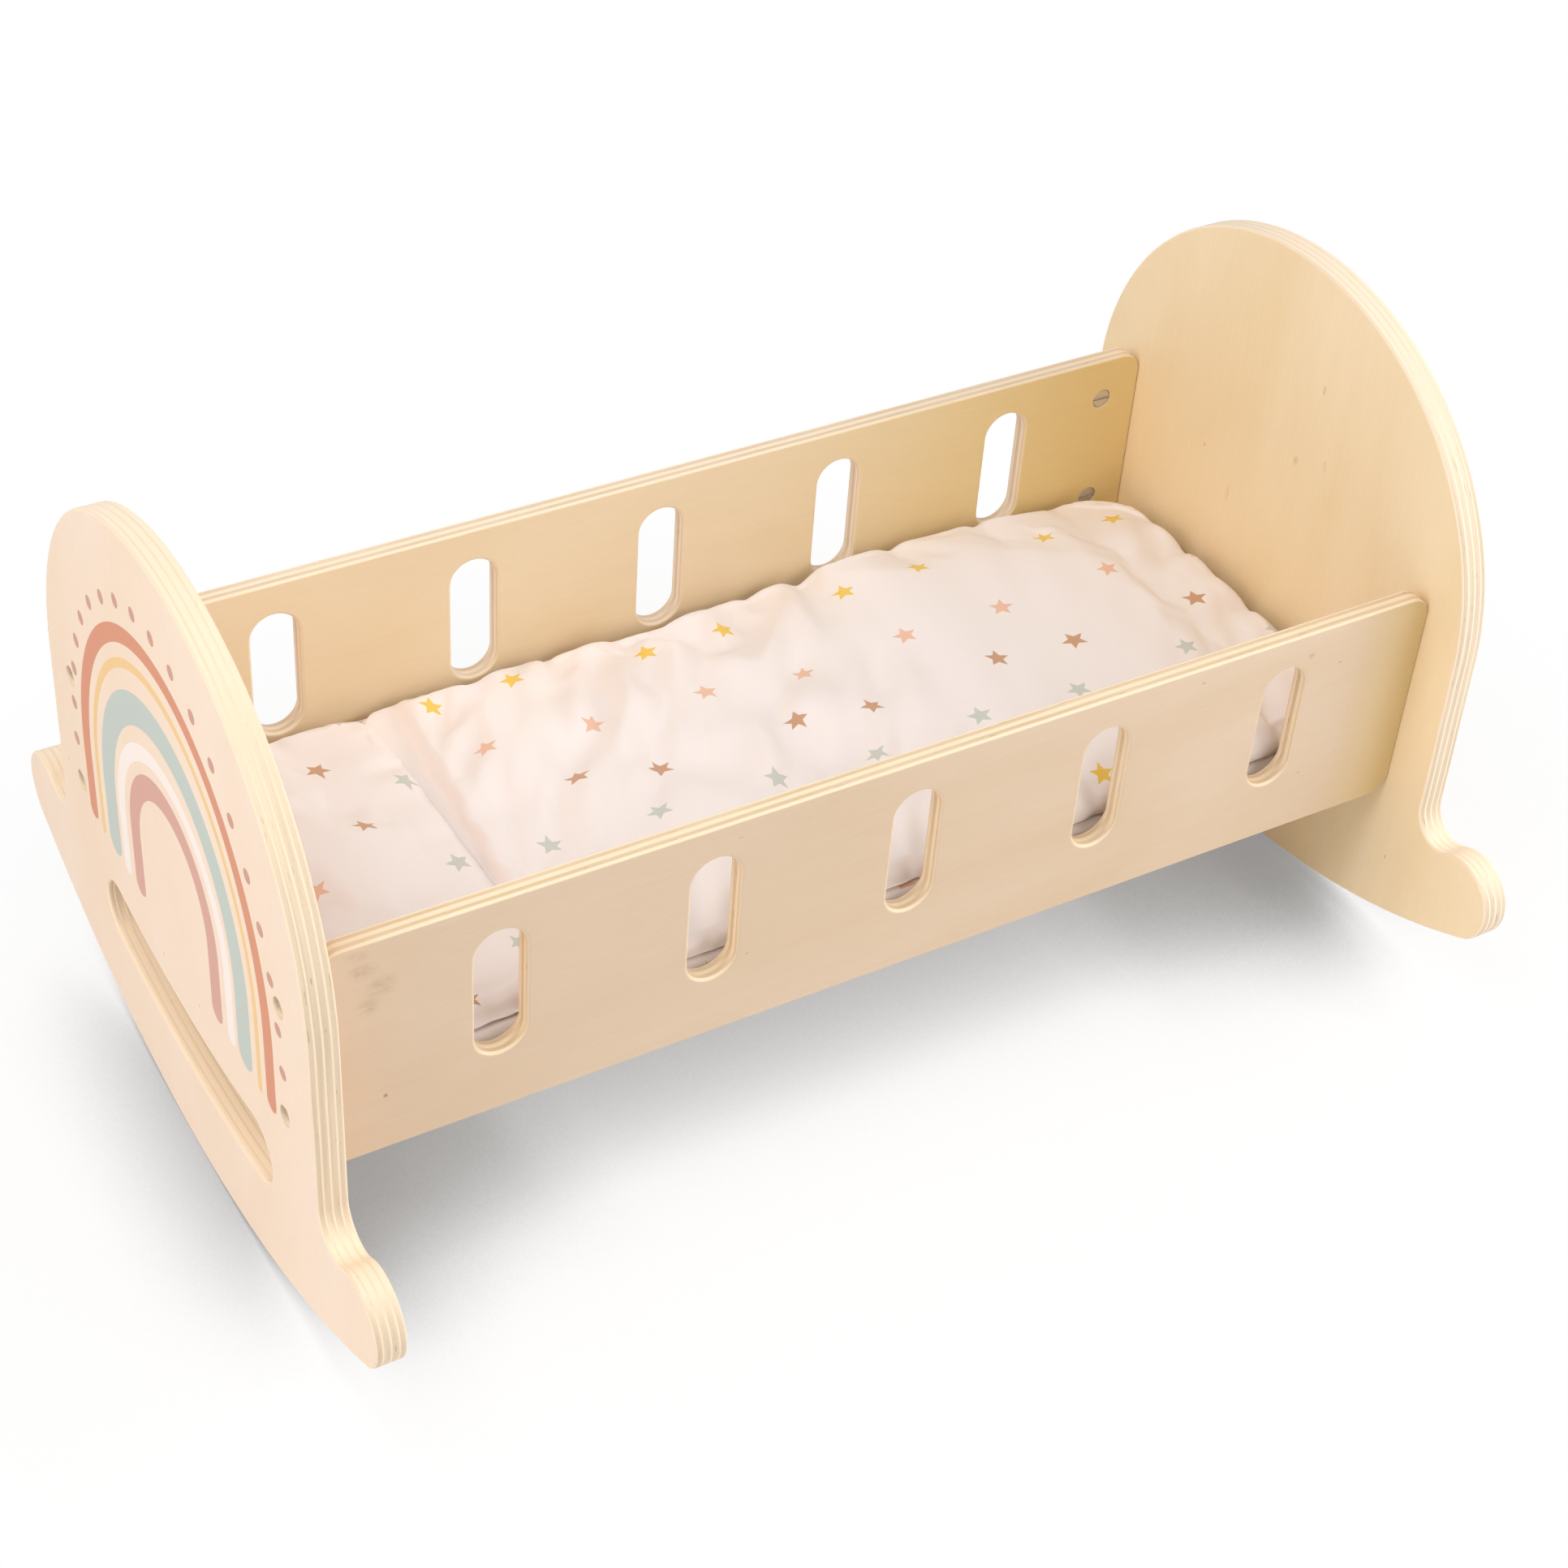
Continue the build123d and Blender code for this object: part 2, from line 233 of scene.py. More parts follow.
birchNear = dict(birchFar, face="DFC7AD", faceWarm="D6B998", edgeEnd="DBBF98",
                 edgeLong="F7E0C1", paintedFootShade=("D9BC83", 195, 245),
                 stains=[((-222.7, -104.5, 166.6), (6, 3, 3.5), 0.4),
                         ((-216.2, -104.5, 157), (6, 3, 5), 0.4),
                         ((-220.9, -104.5, 149.5), (5, 3, 4), 0.35),
                         ((-224.6, -104.5, 173.7), (5, 3, 3), 0.25),
                         ((-216, -104.5, 103.9), (1, 2, 1), 1.0),
                         ((181.5, -104.5, 167.3), (2, 2, 1.6), 0.35)])
birchBase = dict(birch, face="E9CFAE", faceWarm="DFC095")
# plies: the way they lie on each other, the way the face grain runs, where they start, how thick
# they are together in mm, and the share of that where each new ply begins
endPanelPlies = ("X", "Z", 240.0, 12.0, (0.06, 0.22, 0.29, 0.48, 0.55, 0.74, 0.80, 0.94))
sidePanelPlies = ("Y", "X", 96.5, 8.0, (0.16, 0.37, 0.61, 0.83))
basePlies = ("Z", "X", 92.0, 6.0, (0.3, 0.7))


def plywood(name, look, plies):
    stackAxis, grainAxis, start, thickness, cuts = plies
    crossAxis = ({"X", "Y", "Z"} - {stackAxis, grainAxis}).pop()
    material, tree = newMaterial(name)
    coords = addNode(tree, "TexCoord")
    place = addNode(tree, "VectorMath", {"operation": "SCALE"},
                    {0: coords.outputs["Object"], "Scale": 1 / mm}).outputs[0]
    xyz = addNode(tree, "SeparateXYZ", None, {0: place})
    normal = addNode(tree, "SeparateXYZ", None, {0: coords.outputs["Normal"]})

    def laidInGrain(sizes):
        # sizes along the grain, across it and through the plies, as a scale on X, Y and Z
        along, across, through = sizes
        byAxis = {grainAxis: along, crossAxis: across, stackAxis: through}
        return tuple(1 / byAxis[axis] for axis in "XYZ")

    # which ply a point is in: 0 where the grain runs with the face, 1 where it runs across
    depth = addNode(tree, "Math", {"operation": "ABSOLUTE"}, {0: xyz.outputs[stackAxis]})
    wander = addNode(tree, "Mapping", None,
                     {"Vector": place, "Scale": laidInGrain(look["plyWander"])})
    wander = addNode(tree, "TexNoise", None,
                     {"Vector": wander.outputs[0], "Scale": 1.0, "Detail": 2.0})
    depth = addNode(tree, "Math", {"operation": "MULTIPLY_ADD"},
                    {0: wander.outputs["Fac"], 1: 0.5, 2: depth.outputs[0]})
    depth = addNode(tree, "MapRange", None,
                    {"Value": depth.outputs[0], "From Min": start + 0.25,
                     "From Max": start + thickness + 0.25})
    soft = 0.1 / thickness
    ramp = addNode(tree, "ValToRGB", None, {0: depth.outputs[0]})
    stops = [(0.0, 0.0)]
    for i, cut in enumerate(cuts):
        before, after = (0.0, 1.0) if i % 2 == 0 else (1.0, 0.0)
        stops += [(cut - soft, before), (cut + soft, after)]
    setStops(ramp, stops)
    crossed = ramp.outputs["Color"]
    glueLine = addNode(tree, "Math", {"operation": "PINGPONG"}, {0: crossed, 1: 0.5})

    # how squarely the surface cuts each ply's fibres
    facing = {}
    for axis in "XYZ":
        facing[axis] = addNode(tree, "Math", {"operation": "ABSOLUTE"},
                               {0: normal.outputs[axis]}).outputs[0]
    softLong = addNode(tree, "Math", {"operation": "MULTIPLY"},
                       {0: facing[grainAxis], 1: look["endOfFacePly"]})
    endGrain = addNode(tree, "Mix", None,
                       {"Factor": crossed, "A": softLong.outputs[0], "B": facing[crossAxis]})
    endGrain = addNode(tree, "MapRange", {"interpolation_type": "SMOOTHSTEP"},
                       {"Value": endGrain.outputs[0], "From Min": 0.2, "From Max": 1.0})
    uneven = addNode(tree, "Mapping", None,
                     {"Vector": place, "Scale": laidInGrain(look["endPatches"])})
    uneven = addNode(tree, "TexNoise", None,
                     {"Vector": uneven.outputs[0], "Scale": 1.0, "Detail": 2.0})
    uneven = addNode(tree, "MapRange", None,
                     {"Value": uneven.outputs["Fac"], "From Min": 0.3, "From Max": 0.7,
                      "To Min": 0.55, "To Max": 1.1})
    endGrain = addNode(tree, "Math", {"operation": "MULTIPLY"},
                       {0: endGrain.outputs[0], 1: uneven.outputs[0]}).outputs[0]
    isFace = addNode(tree, "MapRange", {"interpolation_type": "SMOOTHSTEP"},
                     {"Value": facing[stackAxis], "From Min": 0.75, "From Max": 0.97}).outputs[0]

    # the face, with broad warmer patches and sparse flecks along the grain
    figure = addNode(tree, "Mapping", None,
                     {"Vector": place, "Scale": laidInGrain(look["figure"])})
    figure = addNode(tree, "TexNoise", None,
                     {"Vector": figure.outputs[0], "Scale": 1.0, "Detail": 5.0,
                      "Roughness": 0.55, "Distortion": 0.7})
    warmth = addNode(tree, "MapRange", None,
                     {"Value": figure.outputs["Fac"], "From Min": 0.3, "From Max": 0.72,
                      "To Max": 0.8})
    faceTone = addNode(tree, "Mix", {"data_type": "RGBA"},
                       {"Factor": warmth.outputs[0], 6: hexColour(look["face"]),
                        7: hexColour(look["faceWarm"])}).outputs[2]
    flecks = addNode(tree, "Mapping", None,
                     {"Vector": place, "Scale": laidInGrain(look["fleckSpacing"])})
    flecks = addNode(tree, "TexVoronoi", None,
                     {"Vector": flecks.outputs[0], "Scale": 1.0})
    fleckDot = addNode(tree, "MapRange", {"interpolation_type": "SMOOTHSTEP"},
                       {"Value": flecks.outputs["Distance"], "From Min": 0.012, "From Max": 0.03,
                        "To Min": 0.45, "To Max": 0.0})
    faceTone = addNode(tree, "Mix", {"data_type": "RGBA"},
                       {"Factor": fleckDot.outputs[0], 6: faceTone,
                        7: hexColour(look["fleck"])}).outputs[2]
    # painted shade: the face is tinted darker and yellower along X towards the foot panel
    if look["paintedFootShade"]:
        tint, begin, end = look["paintedFootShade"]
        share = addNode(tree, "MapRange", {"interpolation_type": "SMOOTHSTEP"},
                        {"Value": xyz.outputs["X"], "From Min": begin, "From Max": end})
        faceTone = addNode(tree, "Mix", {"data_type": "RGBA"},
                           {"Factor": share.outputs[0], 6: faceTone,
                            7: hexColour(tint)}).outputs[2]
    cloud = addNode(tree, "Mapping", None,
                    {"Vector": place, "Scale": laidInGrain(look["stainCloud"])})
    cloud = addNode(tree, "TexNoise", None,
                    {"Vector": cloud.outputs[0], "Scale": 1.0, "Detail": 4.0,
                     "Distortion": 1.2})
    cloud = addNode(tree, "MapRange", None,
                    {"Value": cloud.outputs["Fac"], "From Min": 0.3, "From Max": 0.62})
    for centre, reach, strength in look["stains"]:
        apart = addNode(tree, "VectorMath", {"operation": "SUBTRACT"}, {0: place, 1: centre})
        apart = addNode(tree, "VectorMath", {"operation": "DIVIDE"},
                        {0: apart.outputs[0], 1: reach})
        apart = addNode(tree, "VectorMath", {"operation": "LENGTH"}, {0: apart.outputs[0]})
        stain = addNode(tree, "MapRange", {"interpolation_type": "SMOOTHSTEP"},
                        {"Value": apart.outputs["Value"], "From Min": 0.2, "From Max": 1.3,
                         "To Min": strength, "To Max": 0.0})
        if max(reach) > 2:   # only the larger marks are broken up
            stain = addNode(tree, "Math", {"operation": "MULTIPLY"},
                            {0: stain.outputs[0], 1: cloud.outputs[0]})
        faceTone = addNode(tree, "Mix", {"data_type": "RGBA"},
                           {"Factor": stain.outputs[0], 6: faceTone,
                            7: hexColour(look["fleck"])}).outputs[2]

    # the edge, with glue lines between the plies and small gaps in the end grain
    edgeTone = addNode(tree, "Mix", {"data_type": "RGBA"},
                       {"Factor": endGrain, 6: hexColour(look["edgeLong"]),
                        7: hexColour(look["edgeEnd"])}).outputs[2]
    glueShare = addNode(tree, "Math", {"operation": "MULTIPLY"}, {0: glueLine.outputs[0], 1: 0.35})
    edgeTone = addNode(tree, "Mix", {"data_type": "RGBA"},
                       {"Factor": glueShare.outputs[0], 6: edgeTone,
                        7: hexColour(look["glue"])}).outputs[2]
    gaps = addNode(tree, "Mapping", None,
                   {"Vector": place, "Scale": laidInGrain(look["endGaps"])})
    gaps = addNode(tree, "TexNoise", None,
                   {"Vector": gaps.outputs[0], "Scale": 1.0, "Detail": 1.0})
    gaps = addNode(tree, "MapRange", None,
                   {"Value": gaps.outputs["Fac"], "From Min": 0.72, "From Max": 0.76})
    gaps = addNode(tree, "Math", {"operation": "MULTIPLY"}, {0: gaps.outputs[0], 1: endGrain})
    edgeTone = addNode(tree, "Mix", {"data_type": "RGBA"},
                       {"Factor": gaps.outputs[0], 6: edgeTone,
                        7: hexColour(look["gap"])}).outputs[2]
    tone = addNode(tree, "Mix", {"data_type": "RGBA"},
                   {"Factor": isFace, 6: edgeTone, 7: faceTone}).outputs[2]

    # fibres: long streaks with the grain, specks where they are cut across
    fibres = addNode(tree, "Mapping", None,
                     {"Vector": place, "Scale": laidInGrain(look["fibre"])})
    fibres = addNode(tree, "TexNoise", None,
                     {"Vector": fibres.outputs[0], "Scale": 1.0, "Detail": 4.0,
                      "Roughness": 0.6})
    specks = addNode(tree, "TexNoise", None,
                     {"Vector": place, "Scale": 1.2, "Detail": 3.0, "Roughness": 0.7})
    streak = addNode(tree, "Mix", None,
                     {"Factor": endGrain, "A": fibres.outputs["Fac"], "B": specks.outputs["Fac"]})
    streak = addNode(tree, "MapRange", None,
                     {"Value": streak.outputs[0], "From Min": 0.3, "From Max": 0.7,
                      "To Min": -0.5, "To Max": 0.5})
    contrast = addNode(tree, "MapRange", None,
                       {"Value": isFace, "To Min": look["edgeContrast"],
                        "To Max": look["faceContrast"]})
    streak = addNode(tree, "Math", {"operation": "MULTIPLY_ADD"},
                     {0: streak.outputs[0], 1: contrast.outputs[0], 2: 1.0})
    tone = addNode(tree, "VectorMath", {"operation": "SCALE"},
                   {0: tone, "Scale": streak.outputs[0]}).outputs[0]

    bump = addNode(tree, "Bump", None,
                   {"Height": fibres.outputs["Fac"], "Strength": 0.1, "Distance": 0.0002})
    wood = addNode(tree, "BsdfPrincipled", None,
                   {"Base Color": tone, "Roughness": look["roughness"], "IOR": 1.45,
                    "Normal": bump.outputs[0]})
    addNode(tree, "OutputMaterial", None, {"Surface": wood.outputs[0]})
    return material


# Water-based ink, screen printed on the head panel: flat, soft colours with clean edges, a plain
# striped rainbow inside a row of dots
rainbow = {
    "faceAt": -251.5,       # mm; only what lies beyond this is printed
    "springing": 130.0,     # the height where the arches begin
    "feet": 98.0,           # and where the stripes end
    "stripes": [
        # colour, outer half width, inner half width, outer top, inner top
        ("D98A66", 92.5, 84.0, 235.0, 228.0),
        ("F3C886", 79.5, 75.8, 222.0, 218.0),
        ("BEC8BF", 71.0, 58.0, 208.5, 195.0),
        ("FBEDE4", 55.0, 48.0, 187.0, 180.0),
        ("D79F8F", 43.0, 33.0, 175.0, 165.0),
    ],
    "cover": 0.94,          # how fully the ink hides the wood
    "dotColour": "CC9480",
    "dotRadius": 2.9,
    "dots": [(0, 245), (18, 243), (36, 237), (52, 228), (67, 215.5), (79, 200.5), (88, 184),
             (94.5, 166.5), (99, 147), (101, 128), (101.7, 108.5)],
}


def printRainbow(material, look):
    tree = material.node_tree
    wood = next(n for n in tree.nodes if n.type == "BSDF_PRINCIPLED")
    coords = addNode(tree, "TexCoord")
    scaled = addNode(tree, "VectorMath", {"operation": "SCALE"},
                     {0: coords.outputs["Object"], "Scale": 1 / mm})
    xyz = addNode(tree, "SeparateXYZ", None, {0: scaled.outputs[0]})
    side = addNode(tree, "Math", {"operation": "ABSOLUTE"}, {0: xyz.outputs["Y"]}).outputs[0]
    height = xyz.outputs["Z"]
    above = addNode(tree, "Math", {"operation": "SUBTRACT"}, {0: height, 1: look["springing"]})
    above = addNode(tree, "Math", {"operation": "MAXIMUM"}, {0: above.outputs[0], 1: 0.0})
    above = above.outputs[0]
    onFace = addNode(tree, "Math", {"operation": "LESS_THAN"},
                     {0: xyz.outputs["X"], 1: look["faceAt"]}).outputs[0]
    flat = addNode(tree, "CombineXYZ", None, {"X": side, "Y": height}).outputs[0]

    def within(halfWidth, top):
        across = addNode(tree, "Math", {"operation": "DIVIDE"}, {0: side, 1: halfWidth})
        up = addNode(tree, "Math", {"operation": "DIVIDE"},
                     {0: above, 1: top - look["springing"]})
        pair = addNode(tree, "CombineXYZ", None, {"X": across.outputs[0], "Y": up.outputs[0]})
        reach = addNode(tree, "VectorMath", {"operation": "LENGTH"}, {0: pair.outputs[0]})
        return addNode(tree, "Math", {"operation": "LESS_THAN"},
                       {0: reach.outputs["Value"], 1: 1.0}).outputs[0]

    def nearTo(y, z, radius):
        gap = addNode(tree, "VectorMath", {"operation": "DISTANCE"}, {0: flat, 1: (y, z, 0)})
        return addNode(tree, "Math", {"operation": "LESS_THAN"},
                       {0: gap.outputs["Value"], 1: radius}).outputs[0]

    def paint(under, mask, colour):
        mask = addNode(tree, "Math", {"operation": "MULTIPLY"}, {0: mask, 1: onFace})
        mask = addNode(tree, "Math", {"operation": "MULTIPLY"},
                       {0: mask.outputs[0], 1: look["cover"]})
        return addNode(tree, "Mix", {"data_type": "RGBA"},
                       {"Factor": mask.outputs[0], 6: under, 7: hexColour(colour)}).outputs[2]

    colour = wood.inputs["Base Color"].links[0].from_socket
    for code, outer, inner, outerTop, innerTop in look["stripes"]:
        endRadius = (outer - inner) / 2
        footLine = look["feet"] + endRadius
        ring = addNode(tree, "Math", {"operation": "SUBTRACT"},
                       {0: within(outer, outerTop), 1: within(inner, innerTop)})
        raised = addNode(tree, "Math", {"operation": "GREATER_THAN"}, {0: height, 1: footLine})
        ring = addNode(tree, "Math", {"operation": "MULTIPLY"},
                       {0: ring.outputs[0], 1: raised.outputs[0]})
        cap = nearTo((outer + inner) / 2, footLine, endRadius)
        mask = addNode(tree, "Math", {"operation": "MAXIMUM"}, {0: ring.outputs[0], 1: cap})
        colour = paint(colour, mask.outputs[0], code)
    for y, z in look["dots"]:
        colour = paint(colour, nearTo(y, z, look["dotRadius"]), look["dotColour"])
    tree.links.new(colour, wood.inputs["Base Color"])


# Zinc plated steel, left bright: pale cool grey with a soft, slightly mottled shine
zinc = {"dark": "C4C3BE", "light": "DCDBD6", "mottle": 1.5, "roughness": (0.3, 0.5)}


def platedSteel(look):
    material, tree = newMaterial("zincPlatedSteel")
    coords = addNode(tree, "TexCoord")
    mottle = addNode(tree, "TexNoise", None,
                     {"Vector": coords.outputs["Object"], "Scale": 1 / (look["mottle"] * mm),
                      "Detail": 3.0})
    rough = addNode(tree, "MapRange", None,
                    {"Value": mottle.outputs["Fac"], "To Min": look["roughness"][0],
                     "To Max": look["roughness"][1]})
    shade = addNode(tree, "Mix", {"data_type": "RGBA"},
                    {"Factor": mottle.outputs["Fac"], 6: hexColour(look["dark"]),
                     7: hexColour(look["light"])})
    steel = addNode(tree, "BsdfPrincipled", None,
                    {"Base Color": shade.outputs[2], "Metallic": 1.0,
                     "Roughness": rough.outputs[0]})
    addNode(tree, "OutputMaterial", None, {"Surface": steel.outputs[0]})
    return material


def dress(node, material):
    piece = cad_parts[node]
    piece.data.materials.clear()
    piece.data.materials.append(material)


headBirch = plywood("birchPlywoodHead", birchHead, endPanelPlies)
printRainbow(headBirch, rainbow)
dress("head_panel", headBirch)
dress("foot_panel", plywood("birchPlywoodFoot", birchFoot, endPanelPlies))
dress("side_panel_left", plywood("birchPlywoodFarSide", birchFar, sidePanelPlies))
dress("side_panel_right", plywood("birchPlywoodNearSide", birchNear, sidePanelPlies))
dress("base_board", plywood("birchPlywoodBase", birchBase, basePlies))
steel = platedSteel(zinc)
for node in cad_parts:
    if node.startswith(("bolt_", "barrel_nut_")):
        dress(node, steel)
print("boards and fittings finished")


# Cotton sateen, woven close and screen printed: smooth off-white cloth with a slight sheen and
# small flat stars in soft colours
starPrint = {
    "cotton": "F8EEEA",
    "stars": [
        # colour, place along and across in mm, turn in degrees, repeat along and across in mm
        ("F3CB58", -15.6, 74.5, 8.0, 96.0, 283.0),
        ("F3CB58", 20.8, 75.5, -6.0, 96.0, 283.0),
        ("F1C2A9", -9.6, 35.6, 4.0, 96.0, 141.5),
        ("F1C2A9", 36.6, 35.2, 22.0, 96.0, 141.5),
        ("CE9E7C", 15.4, 5.4, 14.0, 96.0, 141.5),
        ("CE9E7C", -46.4, 1.6, -12.0, 96.0, 141.5),
        ("CFD1C7", -10.8, -23.4, 6.0, 96.0, 141.5),
        ("CFD1C7", 34.6, -25.4, -12.0, 96.0, 141.5),
        ("F3CB58", 112.5, -70.0, 8.0, 288.0, 283.0),
        ("CE9E7C", 62.0, -68.0, -10.0, 288.0, 283.0),
        ("F1C2A9", -8.0, -64.5, 20.0, 192.0, 283.0),
    ],
    "starReach": 5.5,       # mm from the middle to a tip
    "starWaist": 2.5,       # and to the notch between two tips
    "thread": 0.9,          # three times the real spacing, so that it shows
    "roughness": 0.6,
}


def printedCotton(look):
    material, tree = newMaterial("starPrintedCottonSateen")
    cloth = addNode(tree, "UVMap", {"uv_map": "cloth"})
    place = addNode(tree, "VectorMath", {"operation": "SCALE"},
                    {0: cloth.outputs[0], "Scale": 1 / mm}).outputs[0]
    nearest, reach, ink = None, None, None
    for code, x, y, turn, along, across in look["stars"]:
        apart = addNode(tree, "VectorMath", {"operation": "SUBTRACT"}, {0: place, 1: (x, y, 0)})
        apart = addNode(tree, "VectorMath", {"operation": "WRAP"},
                        {0: apart.outputs[0], 1: (along / 2, across / 2, 1.0),
                         2: (-along / 2, -across / 2, -1.0)})
        apart = addNode(tree, "VectorRotate", {"rotation_type": "Z_AXIS"},
                        {"Vector": apart.outputs[0], "Angle": math.radians(turn)}).outputs[0]
        length = addNode(tree, "VectorMath", {"operation": "LENGTH"}, {0: apart}).outputs["Value"]
        if nearest is None:
            nearest, reach, ink = apart, length, hexColour(code)
            continue
        closer = addNode(tree, "Math", {"operation": "LESS_THAN"}, {0: length, 1: reach}).outputs[0]
        nearest = addNode(tree, "Mix", {"data_type": "VECTOR"},
                          {"Factor": closer, 4: nearest, 5: apart}).outputs[1]
        ink = addNode(tree, "Mix", {"data_type": "RGBA"},
                      {"Factor": closer, 6: ink, 7: hexColour(code)}).outputs[2]
        reach = addNode(tree, "Math", {"operation": "MINIMUM"}, {0: length, 1: reach}).outputs[0]

    # one star: the angle is folded into a tenth of a turn, and a straight edge cuts it
    xyz = addNode(tree, "SeparateXYZ", None, {0: nearest})
    angle = addNode(tree, "Math", {"operation": "ARCTAN2"},
                    {0: xyz.outputs["X"], 1: xyz.outputs["Y"]})
    angle = addNode(tree, "Math", {"operation": "PINGPONG"}, {0: angle.outputs[0], 1: math.pi / 5})
    out = addNode(tree, "Math", {"operation": "COSINE"}, {0: angle.outputs[0]})
    out = addNode(tree, "Math", {"operation": "MULTIPLY"}, {0: out.outputs[0], 1: reach})
    up = addNode(tree, "Math", {"operation": "SINE"}, {0: angle.outputs[0]})
    up = addNode(tree, "Math", {"operation": "MULTIPLY"}, {0: up.outputs[0], 1: reach})
    waistX = look["starWaist"] * math.cos(math.pi / 5)
    waistY = look["starWaist"] * math.sin(math.pi / 5)
    edge = addNode(tree, "Math", {"operation": "SUBTRACT"},
                   {0: look["starReach"], 1: out.outputs[0]})
    edge = addNode(tree, "Math", {"operation": "MULTIPLY"}, {0: edge.outputs[0], 1: waistY})
    cut = addNode(tree, "Math", {"operation": "MULTIPLY"},
                  {0: up.outputs[0], 1: look["starReach"] - waistX})
    edge = addNode(tree, "Math", {"operation": "SUBTRACT"}, {0: edge.outputs[0], 1: cut.outputs[0]})
    inside = addNode(tree, "MapRange", {"interpolation_type": "SMOOTHSTEP"},
                     {"Value": edge.outputs[0], "From Min": -0.2, "From Max": 0.6})
    tone = addNode(tree, "Mix", {"data_type": "RGBA"},
                   {"Factor": inside.outputs[0], 6: hexColour(look["cotton"]), 7: ink})

    # warp and weft
    bumps = None
    for stretch in ((6.0, 1.0, 1.0), (1.0, 6.0, 1.0)):
        yarn = addNode(tree, "Mapping", None,
                       {"Vector": place, "Scale": tuple(1 / (s * look["thread"]) for s in stretch)})
        yarn = addNode(tree, "TexNoise", {"noise_dimensions": "2D"},
                       {"Vector": yarn.outputs[0], "Scale": 1.0, "Detail": 2.0})
        if bumps is None:
            bumps = yarn.outputs["Fac"]
        else:
            bumps = addNode(tree, "Math", {"operation": "ADD"},
                            {0: bumps, 1: yarn.outputs["Fac"]}).outputs[0]
    weave = addNode(tree, "Bump", None, {"Height": bumps, "Strength": 0.15, "Distance": 0.0001})
    cotton = addNode(tree, "BsdfPrincipled", None,
                     {"Base Color": tone.outputs[2], "Roughness": look["roughness"],
                      "Sheen Weight": 0.15, "Sheen Roughness": 0.5, "Normal": weave.outputs[0]})
    addNode(tree, "OutputMaterial", None, {"Surface": cotton.outputs[0]})
    return material


def between(knots, place):
    # a smooth line through (place, value) knots
    if place <= knots[0][0]:
        return knots[0][1]
    for (a, low), (b, high) in zip(knots, knots[1:]):
        if place <= b:
            share = (place - a) / (b - a)
            share = share * share * (3 - 2 * share)
            return low + (high - low) * share
    return knots[-1][1]


def creaseDepth(look, x, y):
    # creases are valleys between soft shoulders, deepest at their start
    depth = 0.0
    for startX, startY, endX, endY, push, width in look["creases"]:
        runX, runY = endX - startX, endY - startY
        length = math.hypot(runX, runY)
        share = ((x - startX) * runX + (y - startY) * runY) / length ** 2
        aside = ((x - startX) * runY - (y - startY) * runX) / length
        fade = math.exp(-max(-share, 0.0) ** 2 / 0.02) * max(0.0, 1 - max(share, 0.0)) ** 1.3
        near = aside / width
        depth += push * fade * (math.exp(-near ** 2) - 0.3 * math.exp(-(abs(near) - 2.0) ** 2))
    return depth


# in mm
hemThickness = 2.2          # a pad thinner than this is a bare hem
tuckedRim, tuckFade = 8.0, 6.0      # how far in a pinch pulls the seam
lumpLength, lumpWidth = 19.0, 23.0
ruffleFade, ruffleWave, seamWave = 4.0, 3.1, 3.4


